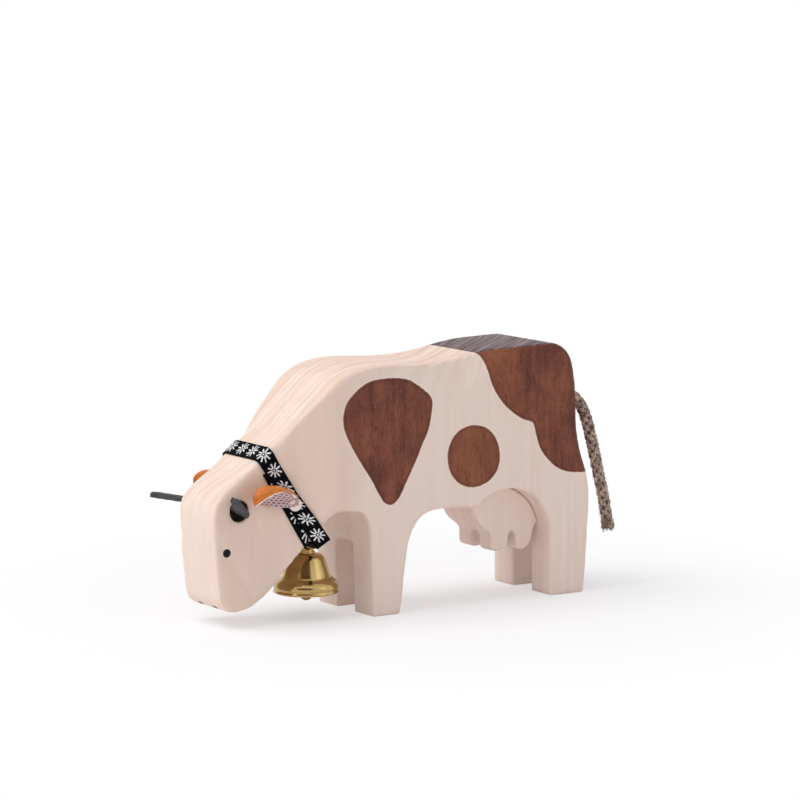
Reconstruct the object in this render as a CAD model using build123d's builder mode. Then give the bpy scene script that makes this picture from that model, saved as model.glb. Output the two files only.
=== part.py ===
from build123d import *
from math import *
import os

os.makedirs("parts", exist_ok=True)

# Cow figurine. Millimetres, +Z up, the cow faces -X, standing on Z = 0.

# Main sizes of the wooden body
body_length = 123.7
body_height = 74.0
plank_thickness = 30.0
head_thickness = 20.0
glue_gap = 0.08
edge_round = 1.0

# Horn sizes, needed here because the far horn's tip is the foremost point
horn_width = 5.6
horn_thickness = 1.6
horn_tip_width = 2.0
horn_reach_out = 11.7
horn_reach_forward = 10.1
horn_bend_out = 1.2
near_horn_angle = 32.0
far_horn_angle = 8.0
horn_hole_diameter = 6.0
horn_hole_depth = 5.0
horn_back_share = 0.0647
horn_height_share = 0.4473
horn_back = horn_back_share * body_length
horn_height = horn_height_share * body_height

horn_run = hypot(horn_reach_out - horn_bend_out, horn_reach_forward)
tip_side_out = horn_tip_width / 2 * horn_reach_forward / horn_run
tip_side_forward = horn_tip_width / 2 * (horn_reach_out - horn_bend_out) / horn_run
horn_front = (horn_reach_forward + tip_side_forward) * cos(radians(far_horn_angle))
horn_front = horn_front + horn_thickness / 2 * sin(radians(far_horn_angle))
horn_lead = horn_front - horn_back

# The origin is midway between the horn tips and the rump
nose_x = -(body_length - horn_lead) / 2
half_plank = plank_thickness / 2
half_head = head_thickness / 2


def at(x_share, z_share):
    return (nose_x + x_share * body_length, z_share * body_height)


def direction(start, end):
    return (Vector(*end) - Vector(*start)).normalized()


def meet(p, d, q, e):
    # Point where the line through p along d crosses the line through q along e
    p, d, q, e = Vector(p), Vector(d), Vector(q), Vector(e)
    cross = d.X * e.Y - d.Y * e.X
    along = ((q.X - p.X) * e.Y - (q.Y - p.Y) * e.X) / cross
    return (p.X + d.X * along, p.Y + d.Y * along)


# Outline of the body, seen from the side: shares of the length from the nose and of the height
back_shares = [
    (0.887, 1.0), (0.788, 0.991), (0.715, 0.978), (0.625, 0.962), (0.57, 0.954), (0.505, 0.955),
    (0.441, 0.961), (0.384, 0.958), (0.34, 0.942), (0.307, 0.916), (0.267, 0.859), (0.218, 0.782),
    (0.174, 0.708),
]
poll_shares = [(0.105, 0.618), (0.074, 0.576), (0.043, 0.543), (0.019, 0.508), (0.003, 0.462), (0.0, 0.405)]
face_shares = [(0.0, 0.405), (0.003, 0.3), (0.013, 0.128)]
jaw_shares = [
    (0.013, 0.128), (0.02, 0.092), (0.036, 0.069), (0.066, 0.064), (0.099, 0.077), (0.13, 0.1),
    (0.156, 0.132), (0.182, 0.177),
]
chest_shares = [
    (0.279, 0.36), (0.303, 0.397), (0.335, 0.411), (0.357, 0.409), (0.374, 0.392), (0.386, 0.351),
    (0.39, 0.284),
]
fore_foot_front_share = 0.396
fore_foot_rear_share = 0.468
belly_shares = [
    (0.468, 0.0), (0.476, 0.074), (0.48, 0.141), (0.486, 0.208), (0.493, 0.274), (0.504, 0.319),
    (0.52, 0.355), (0.546, 0.381), (0.575, 0.389), (0.608, 0.389), (0.651, 0.384),
]
rear_shares = [
    (0.985, 0.0), (0.994, 0.186), (0.997, 0.272), (1.0, 0.358), (0.998, 0.426), (0.989, 0.493),
    (0.976, 0.554), (0.967, 0.615), (0.962, 0.676), (0.959, 0.811), (0.953, 0.885), (0.944, 0.938),
    (0.929, 0.972), (0.91, 0.992), (0.887, 1.0),
]
hind_leg_share = 0.889
knee_share = 0.165
shoulder_share = 0.292

# Round arch between the udder and the hind leg
arch_radius = 14.9
arch_centre_share = 0.24
arch_start_share = 0.381

# Leg slot and small features of the body
slot_width = 9.2
slot_height = 20.0
slot_corner = 1.5
slot_back_share = 0.3274
nose_corner = 2.5
facet_angle = 12.7
facet_top_share = 0.405
facet_low_share = (0.1496, 0.0541)
facet_margin = 3.0
facet_reach = 24.0
facet_length = 56.0
facet_depth = 8.0
scoop_radius = 154.0
scoop_angle = 11.0
scoop_share = (0.5861, 0.8338)
scoop_half_length = 30.0

# Ears
ear_hole_diameter = 3.2
ear_stem_diameter = 3.0
ear_hole_depth = 4.0
ear_hole_share = (0.139, 0.477)
ear_wall = 1.2
ear_shares = [(0.1859, 0.477), (0.1415, 0.4865), (0.097, 0.4986), (0.0606, 0.5014)]
ear_outs = [4.0, 3.6, 5.3, 7.5]
ear_radii = [1.9, 3.0, 3.6, 1.6]
ear_head_side_angle = 100.0
ear_open_side_angle = 68.0

# Tail rope
rope_diameter = 3.5
rope_hole_diameter = 3.7
rope_shares = [
    (0.9305, 0.8), (0.9822, 0.8), (1.0295, 0.7649), (1.0639, 0.7014), (1.0841, 0.5703), (1.0974, 0.45),
    (1.1145, 0.3311), (1.1237, 0.2108),
]
rope_outs = [0, 0, 0, 0.5, 1.2, 1.9, 2.5, 3.0]
radius_share = 0.45

# Collar ribbon
ribbon_width = 5.2
ribbon_thickness = 0.35
ribbon_top_share = (0.1205, 0.6297)
ribbon_low_share = (0.2288, 0.2838)
strand_radius = 0.8
strip_shares = [
    (0.1205, 0.6297), (0.156, 0.6676), (0.2175, 0.4959), (0.2595, 0.3932), (0.2878, 0.3162), (0.2522, 0.2784),
    (0.2102, 0.3865), (0.1665, 0.5135),
]

# Bell, its loop and the clapper
bell_back_share = 0.2692
bell_out = 3.8
bell_wall = 0.6
bell_crown = 11.3
bell_crown_radius = 2.5
bell_rim_radii = [8.75, 9.25, 9.4, 9.35, 9.2]
bell_rim_heights = [0, 0.2, 0.8, 1.6, 2.4]
bell_flare_radii = [9.2, 8.9, 8.3, 7.5, 6.9]
bell_flare_heights = [2.4, 2.95, 3.5, 4.1, 4.7]
bell_cone_radii = [6.9, 6.3, 5.6, 4.96]
bell_cone_heights = [4.7, 6.6, 8.8, 10.2]
bell_shoulder_radius = 4.0
bell_shoulder_height = 10.9
loop_outer = 2.8
loop_wire = 1.15
loop_rise = 2.0
loop_gap = 0.46
pivot_rise = 0.65
shank_diameter = 1.2
shank_hole_diameter = 1.3
eye_radius = 1.1
eye_wire = 0.8
eye_drop = 1.5
clapper_ring_radius = 1.05
clapper_wire_diameter = 0.7
clapper_drop = 0.1
ball_diameter = 3.6
ball_below_lip = 2.4
ball_hole_depth = 1.0

# Udder
udder_width = 17.0
udder_groove = 4.4
udder_groove_height = 19.0
udder_front_shares = [(-0.562, 0.587), (-0.481, 0.412), (-0.381, 0.278), (-0.293, 0.204), (-0.152, 0.097)]
front_teat_shares = [
    (-0.152, 0.097), (-0.126, -0.011), (-0.126, -0.185), (-0.079, -0.259), (0.036, -0.286),
    (0.17, -0.252), (0.244, -0.192), (0.277, -0.085), (0.304, 0.036), (0.364, 0.09),
]
rear_teat_shares = [
    (0.364, 0.09), (0.438, 0.043), (0.465, -0.071), (0.485, -0.232), (0.532, -0.293),
    (0.653, -0.293), (0.767, -0.226), (0.834, -0.105), (0.868, 0.03), (0.915, 0.137),
]

arch_x = nose_x + hind_leg_share * body_length - arch_radius
arch_z = arch_centre_share * body_height
arch_start = degrees(asin((arch_start_share - arch_centre_share) * body_height / arch_radius))
belly_end = (arch_x - arch_radius * cos(radians(arch_start)), arch_start_share * body_height)

seat_top = at(*back_shares[-1])
seat_front = at(*poll_shares[0])
jaw_end = at(*jaw_shares[-1])
chest_start = at(*chest_shares[0])
fore_front = at(fore_foot_front_share, 0)
neck_line = direction(seat_top, seat_front)
throat_line = direction(jaw_end, chest_start)
leg_line = direction(at(*chest_shares[-1]), fore_front)

knee_x = nose_x + knee_share * body_length
shoulder_x = nose_x + shoulder_share * body_length
clear_x = nose_x - body_length / 2
taper = atan((half_plank - half_head) / (shoulder_x - knee_x))


def plan_points(grow, side):
    # Region outside the body's plan outline, grown outwards by the given amount
    shift = grow * tan(taper / 2)
    return [
        (clear_x, side * (half_head + grow)), (knee_x - shift, side * (half_head + grow)),
        (shoulder_x - shift, side * (half_plank + grow)), (-nose_x, side * (half_plank + grow)),
        (-nose_x, side * plank_thickness), (clear_x, side * plank_thickness),
    ]


# Wooden body: one board sawn to the cow's outline, head and neck thinned in plan
with BuildPart() as wooden_body:
    with BuildSketch(Plane.XZ.offset(-half_plank)):
        with BuildLine():
            Spline(*[at(*p) for p in back_shares], tangents=[(-1, 0), neck_line])
            Line(seat_top, seat_front)
            Spline(*[at(*p) for p in poll_shares], tangents=[neck_line, (0, -1)])
            Spline(*[at(*p) for p in face_shares], tangents=[(0, -1), (nose_corner, -body_height / 3)])
            Spline(*[at(*p) for p in jaw_shares], tangents=[(nose_corner, -body_height / 3), throat_line])
            Line(jaw_end, chest_start)
            Spline(*[at(*p) for p in chest_shares], tangents=[throat_line, leg_line])
            Line(at(*chest_shares[-1]), fore_front)
            Line(fore_front, at(fore_foot_rear_share, 0))
            Spline(*([at(*p) for p in belly_shares] + [belly_end]))
            CenterArc((arch_x, arch_z), arch_radius, 180 - arch_start, arch_start - 180)
            Line((arch_x + arch_radius, arch_z), (arch_x + arch_radius, 0))
            Line((arch_x + arch_radius, 0), at(*rear_shares[0]))
            Spline(*[at(*p) for p in rear_shares], tangents=[(nose_corner, body_height / 3), (-1, 0)])
        make_face()
    extrude(amount=plank_thickness)

    # Head and neck thinned towards the nose
    for side in (1, -1):
        with BuildSketch(Plane.XY):
            with BuildLine():
                Polyline(*plan_points(0, side), close=True)
            make_face()
        extrude(amount=body_height * 2, mode=Mode.SUBTRACT)

    # Sawn edges sanded round: belly, arch and hind legs, then the back and the rump

    def sawn_edges(front_x, bottom_z, top_z):
        chosen = []
        for edge in wooden_body.edges():
            span = edge.bounding_box()
            on_side = abs(abs(edge.center().Y) - half_plank) < glue_gap
            if on_side and span.min.X > front_x and span.size.Z > edge_round and bottom_z < span.max.Z < top_z:
                chosen.append(edge)
        return chosen

    fillet(sawn_edges(fore_front[0] + edge_round, 0, body_height / 2), radius=edge_round)
    fillet(sawn_edges(shoulder_x - glue_gap, body_height - edge_round, body_height + edge_round), radius=edge_round)

    # Slot that parts the left legs from the right legs
    with BuildSketch(Plane.YZ.offset(nose_x + slot_back_share * body_length)):
        with Locations((0, (slot_height - body_height) / 2)):
            RectangleRounded(slot_width, slot_height + body_height, slot_corner)
    extrude(amount=body_length, mode=Mode.SUBTRACT)

    # Waist facets sanded along both upper edges of the back
    for side in (1, -1):
        lean = radians(scoop_angle)
        scoop_axis = Vector(0, -side * sin(lean), cos(lean))
        scoop_out = Vector(0, side * cos(lean), sin(lean))
        scoop_x, scoop_z = at(*scoop_share)
        scoop_start = Vector(scoop_x, side * half_plank, scoop_z)
        scoop_centre = scoop_start + scoop_out * scoop_radius
        with BuildSketch(Plane(origin=scoop_centre, x_dir=(1, 0, 0), z_dir=scoop_axis)):
            Circle(scoop_radius)
        extrude(amount=scoop_half_length, both=True, mode=Mode.SUBTRACT)

    # Flat facets that narrow the muzzle
    facet_top = (nose_x, facet_top_share * body_height)
    facet_low = at(*facet_low_share)
    along = direction(facet_top, facet_low)
    for side in (1, -1):
        tilt = radians(facet_angle)
        facet_normal = Vector(along.Y * sin(tilt), side * cos(tilt), -along.X * sin(tilt))
        facet_along = Vector(along.X, 0, along.Y)
        facet_mid = Vector((facet_top[0] + facet_low[0]) / 2, side * half_head, (facet_top[1] + facet_low[1]) / 2)
        with BuildSketch(Plane(origin=facet_mid, x_dir=facet_along, z_dir=facet_normal)):
            with Locations((0, -side * (facet_reach - facet_margin) / 2)):
                Rectangle(facet_length, facet_reach + facet_margin)
        extrude(amount=facet_depth, mode=Mode.SUBTRACT)

    # Drilled holes for the horns, the ears and the tail
    for side in (1, -1):
        with BuildSketch(Plane.XZ.offset(-side * (half_head - horn_hole_depth))):
            with Locations((nose_x + horn_back, horn_height)):
                Circle(horn_hole_diameter / 2)
        extrude(amount=-side * plank_thickness, mode=Mode.SUBTRACT)
        with BuildSketch(Plane.XZ.offset(-side * (half_head - ear_hole_depth))):
            with Locations(at(*ear_hole_share)):
                Circle(ear_hole_diameter / 2)
        extrude(amount=-side * plank_thickness, mode=Mode.SUBTRACT)
    with BuildSketch(Plane.YZ.offset(at(*rope_shares[0])[0])):
        with Locations((0, at(*rope_shares[0])[1])):
            Circle(rope_hole_diameter / 2)
    extrude(amount=plank_thickness, mode=Mode.SUBTRACT)
wooden_body.part.label = "wooden_body"
export_step(wooden_body.part, "parts/wooden_body.step")

# Udder: a sawn half disc with four teats, glued under the round arch
with BuildPart() as udder:
    udder_radius = arch_radius - glue_gap
    start_angle = 180 - arch_start
    last = rear_teat_shares[-1]
    end_angle = degrees(atan2(last[1], last[0])) + degrees(glue_gap)
    arc_start = (arch_x + udder_radius * cos(radians(start_angle)), arch_z + udder_radius * sin(radians(start_angle)))
    arc_end = (arch_x + udder_radius * cos(radians(end_angle)), arch_z + udder_radius * sin(radians(end_angle)))

    def on_arch(share):
        return (arch_x + share[0] * arch_radius, arch_z + share[1] * arch_radius)

    with BuildSketch(Plane.XZ.offset(-udder_width / 2)):
        with BuildLine():
            Spline(*([arc_start] + [on_arch(p) for p in udder_front_shares]))
            Spline(*[on_arch(p) for p in front_teat_shares])
            Spline(*([on_arch(p) for p in rear_teat_shares] + [arc_end]))
            CenterArc((arch_x, arch_z), udder_radius, end_angle, start_angle - end_angle)
        make_face()
    extrude(amount=udder_width)
    with BuildSketch(Plane.YZ.offset(arch_x - arch_radius)):
        with Locations((0, (udder_groove_height - body_height) / 2)):
            SlotOverall(udder_groove_height + body_height, udder_groove, rotation=90)
    extrude(amount=arch_radius * 2, mode=Mode.SUBTRACT)
udder.part.label = "udder"
export_step(udder.part, "parts/udder.step")

# Horns: flat leather strips, each bent forwards within its own plane
horn_outline = [
    (-horn_hole_depth, horn_width / 2), (0, horn_width / 2),
    (horn_reach_out - tip_side_out, horn_reach_forward + tip_side_forward),
    (horn_reach_out + tip_side_out, horn_reach_forward - tip_side_forward),
    (horn_bend_out, -horn_width / 2), (-horn_hole_depth, -horn_width / 2),
]


def horn_plane(side, rise):
    # Drawn outwards along the plane's X and forwards along its Y
    forward = Vector(-cos(radians(rise)), 0, sin(radians(rise)))
    outward = Vector(0, side, 0)
    root = Vector(nose_x + horn_back, side * half_head, horn_height)
    return Plane(origin=root, x_dir=outward, z_dir=outward.cross(forward))


with BuildPart() as left_horn:
    with BuildSketch(horn_plane(-1, near_horn_angle)):
        with BuildLine():
            Polyline(*horn_outline, close=True)
        make_face()
    extrude(amount=horn_thickness / 2, both=True)
left_horn.part.label = "left_horn"
export_step(left_horn.part, "parts/left_horn.step")

with BuildPart() as right_horn:
    with BuildSketch(horn_plane(1, far_horn_angle)):
        with BuildLine():
            Polyline(*horn_outline, close=True)
        make_face()
    extrude(amount=horn_thickness / 2, both=True)
right_horn.part.label = "right_horn"
export_step(right_horn.part, "parts/right_horn.step")


def ear_stations(side):
    # One plane for each section of the ear, its Y pointing up and its X pointing away from the head
    points = []
    for share, out in zip(ear_shares, ear_outs):
        x, z = at(*share)
        points.append(Vector(x, side * (half_head + out), z))
    planes = []
    for i, point in enumerate(points):
        before = points[max(i - 1, 0)]
        after = points[min(i + 1, len(points) - 1)]
        forward = (after - before).normalized()
        outward = Vector(0, 0, 1).cross(forward) * -side
        planes.append(Plane(origin=point, x_dir=outward, z_dir=outward.cross(Vector(0, 0, 1))))
    return planes


# Ears: curled leather troughs on short stems
with BuildPart() as left_ear:
    for section, ear_radius in zip(ear_stations(-1), ear_radii):
        with BuildSketch(section):
            with BuildLine():
                sweep_angle = ear_head_side_angle + ear_open_side_angle
                outer = CenterArc((0, 0), ear_radius, 90 - ear_open_side_angle, sweep_angle)
                inner = CenterArc((0, 0), ear_radius - ear_wall, 90 - ear_open_side_angle, sweep_angle)
                Line(outer @ 0, inner @ 0)
                Line(outer @ 1, inner @ 1)
            make_face()
    loft()
    with BuildSketch(Plane.XZ.offset(half_head - ear_hole_depth)):
        with Locations(at(*ear_hole_share)):
            Circle(ear_stem_diameter / 2)
    extrude(amount=ear_hole_depth + ear_wall + glue_gap * 2)
left_ear.part.label = "left_ear"
export_step(left_ear.part, "parts/left_ear.step")

with BuildPart() as right_ear:
    for section, ear_radius in zip(ear_stations(1), ear_radii):
        with BuildSketch(section):
            with BuildLine():
                sweep_angle = ear_head_side_angle + ear_open_side_angle
                outer = CenterArc((0, 0), ear_radius, 90 - ear_open_side_angle, sweep_angle)
                inner = CenterArc((0, 0), ear_radius - ear_wall, 90 - ear_open_side_angle, sweep_angle)
                Line(outer @ 0, inner @ 0)
                Line(outer @ 1, inner @ 1)
            make_face()
    loft()
    with BuildSketch(Plane.XZ.offset(-half_head + ear_hole_depth)):
        with Locations(at(*ear_hole_share)):
            Circle(ear_stem_diameter / 2)
    extrude(amount=-(ear_hole_depth + ear_wall + glue_gap * 2))
right_ear.part.label = "right_ear"
export_step(right_ear.part, "parts/right_ear.step")

# Collar: a printed ribbon round the neck, gathered under the throat where the bell hangs
ribbon_start = at(*ribbon_top_share)
ribbon_down = direction(ribbon_start, at(*ribbon_low_share))
ribbon_rear = Vector(*ribbon_start) + Vector(-ribbon_down.Y, ribbon_down.X) * ribbon_width
bell_x = nose_x + bell_back_share * body_length
throat_z = meet(jaw_end, throat_line, (bell_x, 0), (0, 1))[1]
loop_z = throat_z - (loop_outer + loop_gap) / throat_line.X
pivot_z = loop_z + pivot_rise
lip_height = loop_z - loop_rise - bell_crown


def neck_top(grow):
    # The neck's straight top edge raised square to itself
    return (seat_top[0] + neck_line.Y * grow, seat_top[1] - neck_line.X * grow)


grown_top = neck_top(ribbon_thickness)
flap_line = ((0, pivot_z - strand_radius), (1, 0))
ribbon_outline = [
    meet(ribbon_start, ribbon_down, grown_top, neck_line),
    meet(ribbon_rear, ribbon_down, grown_top, neck_line),
    meet(ribbon_rear, ribbon_down, *flap_line),
    meet(ribbon_start, ribbon_down, *flap_line),
]

with BuildPart() as neck_core:
    with BuildSketch(Plane.XZ.offset(-half_plank)):
        with BuildLine():
            Polyline(
                (seat_top[0] - neck_line.X * body_height, seat_top[1] - neck_line.Y * body_height),
                (seat_front[0] + neck_line.X * half_head, seat_front[1] + neck_line.Y * half_head),
                (seat_front[0] + neck_line.X * half_head, -body_height),
                (seat_top[0] - neck_line.X * body_height, -body_height), close=True)
        make_face()
    extrude(amount=plank_thickness)
    for side in (1, -1):
        with BuildSketch(Plane.XY.offset(-body_height)):
            with BuildLine():
                Polyline(*plan_points(0, side), close=True)
            make_face()
        extrude(amount=body_height * 3, mode=Mode.SUBTRACT)

with BuildPart() as strip_core:
    with BuildSketch(Plane.XZ.offset(0)):
        with BuildLine():
            Polyline(*[at(*p) for p in strip_shares], close=True)
        make_face()
    extrude(amount=plank_thickness)
    with BuildSketch(Plane.XY):
        with BuildLine():
            Polyline(*plan_points(ribbon_thickness * 2, -1), close=True)
        make_face()
    extrude(amount=body_height, mode=Mode.SUBTRACT)
    with BuildSketch(Plane.XY):
        with BuildLine():
            corners = plan_points(ribbon_thickness, -1)[:4]
            Polyline(*(corners + [(-nose_x, 0), (clear_x, 0)]), close=True)
        make_face()
    extrude(amount=body_height, mode=Mode.SUBTRACT)

with BuildPart() as collar_ribbon:
    with BuildSketch(Plane.XZ.offset(-half_plank - ribbon_thickness)):
        with BuildLine():
            Polyline(*ribbon_outline, close=True)
        make_face()
    extrude(amount=plank_thickness + ribbon_thickness * 2)
    add(neck_core.part, mode=Mode.SUBTRACT)
    with BuildSketch(Plane.XZ.offset(-half_plank - ribbon_thickness)):
        with Locations((bell_x, pivot_z)):
            Circle(strand_radius)
    extrude(amount=plank_thickness + ribbon_thickness * 2)
    for side in (1, -1):
        with BuildSketch(Plane.XY):
            with BuildLine():
                Polyline(*plan_points(ribbon_thickness, side), close=True)
            make_face()
        extrude(amount=body_height, mode=Mode.SUBTRACT)
    add(strip_core.part)
collar_ribbon.part.label = "collar_ribbon"
export_step(collar_ribbon.part, "parts/collar_ribbon.step")

# Bell shell: spun brass with a rolled lip, a flared mouth and a flat crown
bell_axis = Axis((bell_x, -bell_out, 0), (0, 0, 1))
bell_plane = Plane(origin=(bell_x, -bell_out, lip_height), x_dir=(1, 0, 0), z_dir=(0, -1, 0))
crown_z = lip_height + bell_crown
with BuildPart() as bell_shell:
    with BuildSketch(bell_plane):
        with BuildLine():
            rim = list(zip(bell_rim_radii, bell_rim_heights))
            flare = list(zip(bell_flare_radii, bell_flare_heights))
            cone = list(zip(bell_cone_radii, bell_cone_heights))
            slope = bell_wall / 2
            Spline(*rim, tangents=[(1, 0), direction(rim[-2], rim[-1])])
            Spline(*flare)
            Spline(*cone)
            Polyline(cone[-1], (bell_shoulder_radius, bell_shoulder_height), (bell_crown_radius, bell_crown))
            Polyline((bell_crown_radius, bell_crown), (shank_hole_diameter / 2, bell_crown),
                     (shank_hole_diameter / 2, bell_crown - bell_wall),
                     (bell_crown_radius - slope, bell_crown - bell_wall),
                     (bell_shoulder_radius - bell_wall, bell_shoulder_height - bell_wall),
                     (cone[-1][0] - bell_wall, cone[-1][1] - slope))
            Spline(*[(r - bell_wall, h - slope * h / cone[-1][1]) for r, h in reversed(cone)])
            Spline(*[(r - bell_wall, h - slope * flare[-1][1] / cone[-1][1]) for r, h in reversed(flare)])
            Line((flare[0][0] - bell_wall, flare[0][1] - slope * flare[-1][1] / cone[-1][1]), rim[0])
        make_face()
    revolve(axis=bell_axis)
bell_shell.part.label = "bell_shell"
export_step(bell_shell.part, "parts/bell_shell.step")

# Bell loop: cast ring on the crown, its shank through the crown and an eye inside
eye_z = crown_z - bell_wall - eye_drop
with BuildPart() as bell_loop:
    loop_radius = (loop_outer * 2 - loop_wire) / 2
    with BuildSketch(Plane(origin=(bell_x, -bell_out, loop_z), x_dir=(1, 0, 0), z_dir=(0, 0, 1))):
        with Locations((loop_radius, 0)):
            Circle(loop_wire / 2)
    revolve(axis=Axis((bell_x, -bell_out, loop_z), (0, 1, 0)))
    with BuildSketch(Plane.XY.offset(crown_z)):
        with Locations((bell_x, -bell_out)):
            Circle(loop_outer * 2)
    extrude(amount=-loop_outer, mode=Mode.SUBTRACT)
    with BuildSketch(Plane.XY.offset(eye_z + eye_radius)):
        with Locations((bell_x, -bell_out)):
            Circle(shank_diameter / 2)
    extrude(amount=crown_z - eye_z - eye_radius + loop_wire / 4)
    with BuildSketch(Plane(origin=(bell_x, -bell_out, eye_z), x_dir=(0, 1, 0), z_dir=(0, 0, 1))):
        with Locations((eye_radius, 0)):
            Circle(eye_wire / 2)
    revolve(axis=Axis((bell_x, -bell_out, eye_z), (1, 0, 0)))
bell_loop.part.label = "bell_loop"
export_step(bell_loop.part, "parts/bell_loop.step")

# Clapper: a wire with a hooked ring on the eye, and a ball on its lower end
clapper_pivot_z = eye_z - eye_radius
clapper_ring_z = clapper_pivot_z - clapper_drop
ball_z = lip_height - ball_below_lip + ball_diameter / 2
ball_hole_z = ball_z + ball_diameter / 2 - ball_hole_depth
with BuildPart() as clapper_wire:
    with BuildSketch(Plane(origin=(bell_x, -bell_out, clapper_ring_z), x_dir=(1, 0, 0), z_dir=(0, 0, 1))):
        with Locations((clapper_ring_radius, 0)):
            Circle(clapper_wire_diameter / 2)
    revolve(axis=Axis((bell_x, -bell_out, clapper_ring_z), (0, 1, 0)))
    with BuildSketch(Plane.XY.offset(ball_hole_z)):
        with Locations((bell_x, -bell_out)):
            Circle(clapper_wire_diameter / 2)
    extrude(amount=clapper_ring_z - clapper_ring_radius - ball_hole_z)
clapper_wire.part.label = "clapper_wire"
export_step(clapper_wire.part, "parts/clapper_wire.step")

with BuildPart() as clapper_ball:
    with Locations((bell_x, -bell_out, ball_z)):
        Sphere(ball_diameter / 2)
    with BuildSketch(Plane.XY.offset(ball_hole_z)):
        with Locations((bell_x, -bell_out)):
            Circle(clapper_wire_diameter / 2)
    extrude(amount=ball_diameter, mode=Mode.SUBTRACT)
clapper_ball.part.label = "clapper_ball"
export_step(clapper_ball.part, "parts/clapper_ball.step")

# Tail: a limp braided cord glued into the rump
rope_points = []
for share, out in zip(rope_shares, rope_outs):
    x, z = at(*share)
    rope_points.append(Vector(x, -out, z))
rope_radii = []
for i in range(1, len(rope_points) - 1):
    arriving = rope_points[i] - rope_points[i - 1]
    leaving = rope_points[i + 1] - rope_points[i]
    half_turn = radians(arriving.get_angle(leaving)) / 2
    rope_radii.append(radius_share * min(arriving.length, leaving.length) / tan(half_turn))
print("rope arc radii", [round(r, 1) for r in rope_radii])
with BuildPart() as tail_rope:
    with BuildLine() as rope_path:
        FilletPolyline(*rope_points, radius=rope_radii)
    with BuildSketch(Plane.YZ.offset(rope_points[0].X)):
        with Locations((0, rope_points[0].Z)):
            Circle(rope_diameter / 2)
    sweep(path=rope_path.wire())
tail_rope.part.label = "tail_rope"
export_step(tail_rope.part, "parts/tail_rope.step")
section = pi * rope_diameter ** 2 / 4
print("rope volume", round(tail_rope.part.volume, 1), "expected", round(section * rope_path.wire().length, 1),
      "length", round(rope_path.wire().length, 1))

pieces = [wooden_body, udder, left_horn, right_horn, left_ear, right_ear, collar_ribbon, bell_shell,
          bell_loop, clapper_wire, clapper_ball, tail_rope]
for piece in pieces:
    box = piece.part.bounding_box()
    print(piece.part.label, "valid", piece.part.is_valid, "solids", len(piece.part.solids()),
          "volume", round(piece.part.volume, 1),
          "box", [round(v, 2) for v in (box.min.X, box.max.X, box.min.Y, box.max.Y, box.min.Z, box.max.Z)])
print("pivots", round(bell_x, 3), -bell_out, round(pivot_z, 3), round(clapper_pivot_z, 3), "lip", round(lip_height, 3))
print("nose", round(nose_x, 3), "rope", [(round(p.X, 3), round(p.Y, 3), round(p.Z, 3)) for p in rope_points])
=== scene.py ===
from math import atan2, cos, pi, radians, sin, tau

import bmesh
import bpy
import numpy as np
from mathutils import Matrix, Vector


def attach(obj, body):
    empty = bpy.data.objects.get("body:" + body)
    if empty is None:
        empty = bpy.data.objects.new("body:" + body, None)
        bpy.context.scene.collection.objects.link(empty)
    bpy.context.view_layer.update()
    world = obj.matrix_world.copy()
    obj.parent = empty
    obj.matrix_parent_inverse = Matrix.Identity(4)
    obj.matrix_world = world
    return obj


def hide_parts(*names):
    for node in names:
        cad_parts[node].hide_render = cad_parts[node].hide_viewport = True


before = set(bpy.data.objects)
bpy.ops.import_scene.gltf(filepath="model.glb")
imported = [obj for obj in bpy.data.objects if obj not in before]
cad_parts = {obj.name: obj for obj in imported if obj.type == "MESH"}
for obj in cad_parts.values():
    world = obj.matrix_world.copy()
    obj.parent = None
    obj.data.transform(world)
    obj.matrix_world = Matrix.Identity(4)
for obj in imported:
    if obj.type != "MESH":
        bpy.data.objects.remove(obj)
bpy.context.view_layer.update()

# Camera
# The photograph looks at the cow's left side from in front, from a little above its back,
# with a long lens. The whole animal stands in the middle of a square picture.
MM = 0.001
camera_distance = 1118.6
look_at = Vector((23.535, 25.791, 54.779)) * MM
camera_turn, camera_rise = radians(-32.88), radians(7.55)
camera_back = Vector((
    sin(camera_turn) * cos(camera_rise), -cos(camera_turn) * cos(camera_rise), sin(camera_rise),
))


def placed(name, data):
    # A new object in the scene
    thing = bpy.data.objects.new(name, data)
    bpy.context.scene.collection.objects.link(thing)
    return thing


camera = placed("camera", bpy.data.cameras.new("camera"))
camera.data.lens = 171
camera.data.sensor_width = 36
camera.data.clip_start = 0.05
camera.location = look_at + camera_back * camera_distance * MM
camera.rotation_euler = (-camera_back).to_track_quat("-Z", "Y").to_euler()
bpy.context.scene.camera = camera

# Tail
# A short cord braided from eight strands of grey-brown flax. Its end is pushed and glued
# into a hole in the rump, it hangs down behind the hind legs, and its free end is frayed.


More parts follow.
